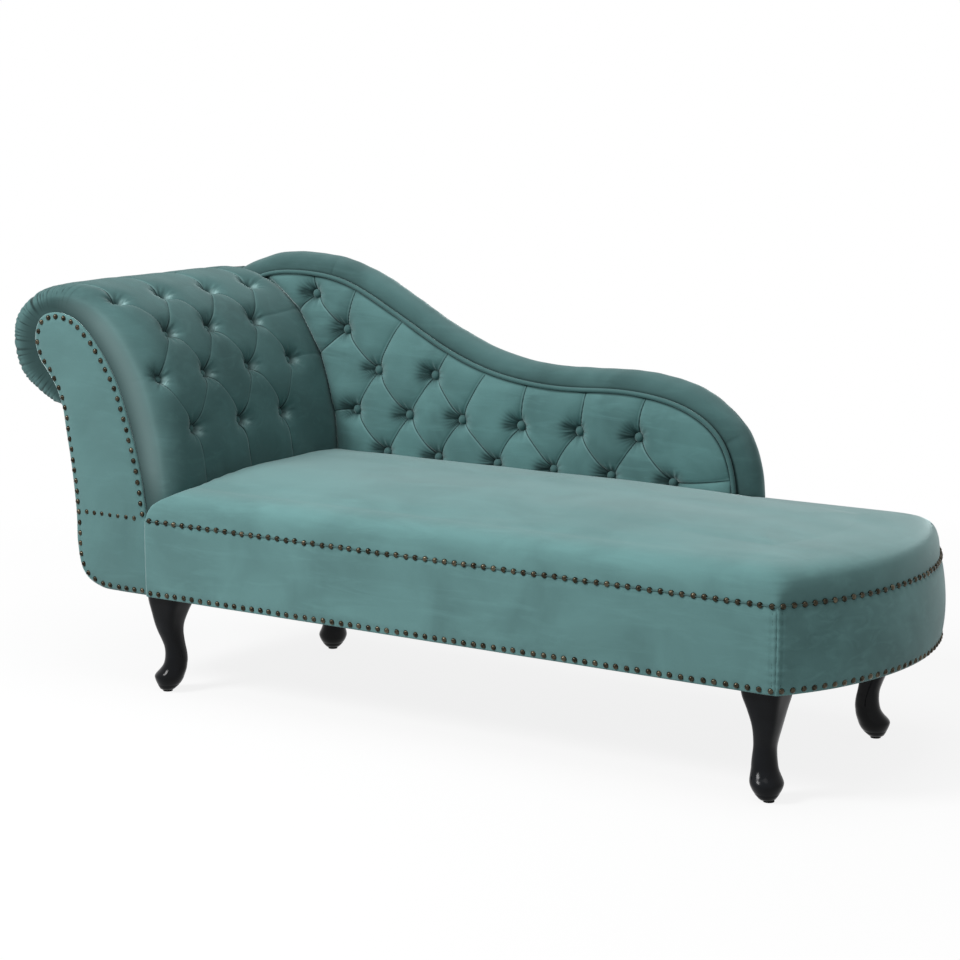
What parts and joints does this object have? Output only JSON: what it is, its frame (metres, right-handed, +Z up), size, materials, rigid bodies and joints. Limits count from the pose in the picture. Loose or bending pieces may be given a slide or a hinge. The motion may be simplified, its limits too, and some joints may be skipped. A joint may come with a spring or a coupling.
{
  "type": "fainting couch",
  "caption": "Chaise with one rolled, deep-buttoned arm, a swooping buttoned back, a bowed foot end, a long padded seat, nail-trimmed bands and cabriole legs.",
  "frame": {"origin": "on the floor, under the middle of the couch's box", "axes": "+X along the length towards the foot end, +Y towards the back, so the open front faces -Y, +Z up"},
  "size_m": [1.7202, 0.6, 0.7767],
  "materials": {
    "velvet": "matte",
    "lacquered_wood": "gloss",
    "antique_brass": "satin",
    "steel": "satin",
    "pine": "matte",
    "plywood": "matte",
    "hardboard": "matte",
    "foam": "matte",
    "deck_cloth": "matte",
    "dust_cloth": "matte",
    "felt": "matte"
  },
  "bodies": {
    "root": {"arm_facing_back": "velvet", "arm_facing_front": "velvet", "arm_liner": "hardboard", "arm_pad": "velvet", "arm_rail_crest": "pine", "arm_rail_waist": "pine", "back_board": "plywood", "back_border": "velvet", "back_outer_panel": "velvet", "back_pad": "velvet", "back_post_foot": "pine", "back_post_head": "pine", "back_post_mid": "pine", "back_rail": "pine", "back_rear_frame": "plywood", "back_welt": "velvet", "band_back": "velvet", "band_foot": "velvet", "band_front": "velvet", "corner_block_back_foot": "pine", "corner_block_back_head": "pine", "corner_block_front_foot": "pine", "corner_block_front_head": "pine", "deck_cloth": "deck_cloth", "dust_cover": "dust_cloth", "foot_cross_rail": "pine", "foot_rail": "plywood", "front_rail": "pine", "glide_back_foot": "felt", "glide_back_head": "felt", "glide_front_foot": "felt", "glide_front_head": "felt", "hanger_bolt_back_foot": "steel", "hanger_bolt_back_head": "steel", "hanger_bolt_front_foot": "steel", "hanger_bolt_front_head": "steel", "head_panel": "velvet", "head_rail": "pine", "joint_rail": "pine", "leg_back_foot": "lacquered_wood", "leg_back_head": "lacquered_wood", "leg_front_foot": "lacquered_wood", "leg_front_head": "lacquered_wood", "leg_plate_back_foot": "steel", "leg_plate_back_head": "steel", "leg_plate_front_foot": "steel", "leg_plate_front_head": "steel", "nails_arm": "antique_brass", "nails_bottom": "antique_brass", "nails_top": "antique_brass", "scroll_board_back": "plywood", "scroll_board_front": "plywood", "seat_cushion": "velvet", "seat_foam": "foam", "seat_spring_1": "steel", "seat_spring_2": "steel", "seat_spring_3": "steel", "seat_spring_4": "steel", "seat_spring_5": "steel", "spring_rail": "pine"}
  },
  "joints": []
}
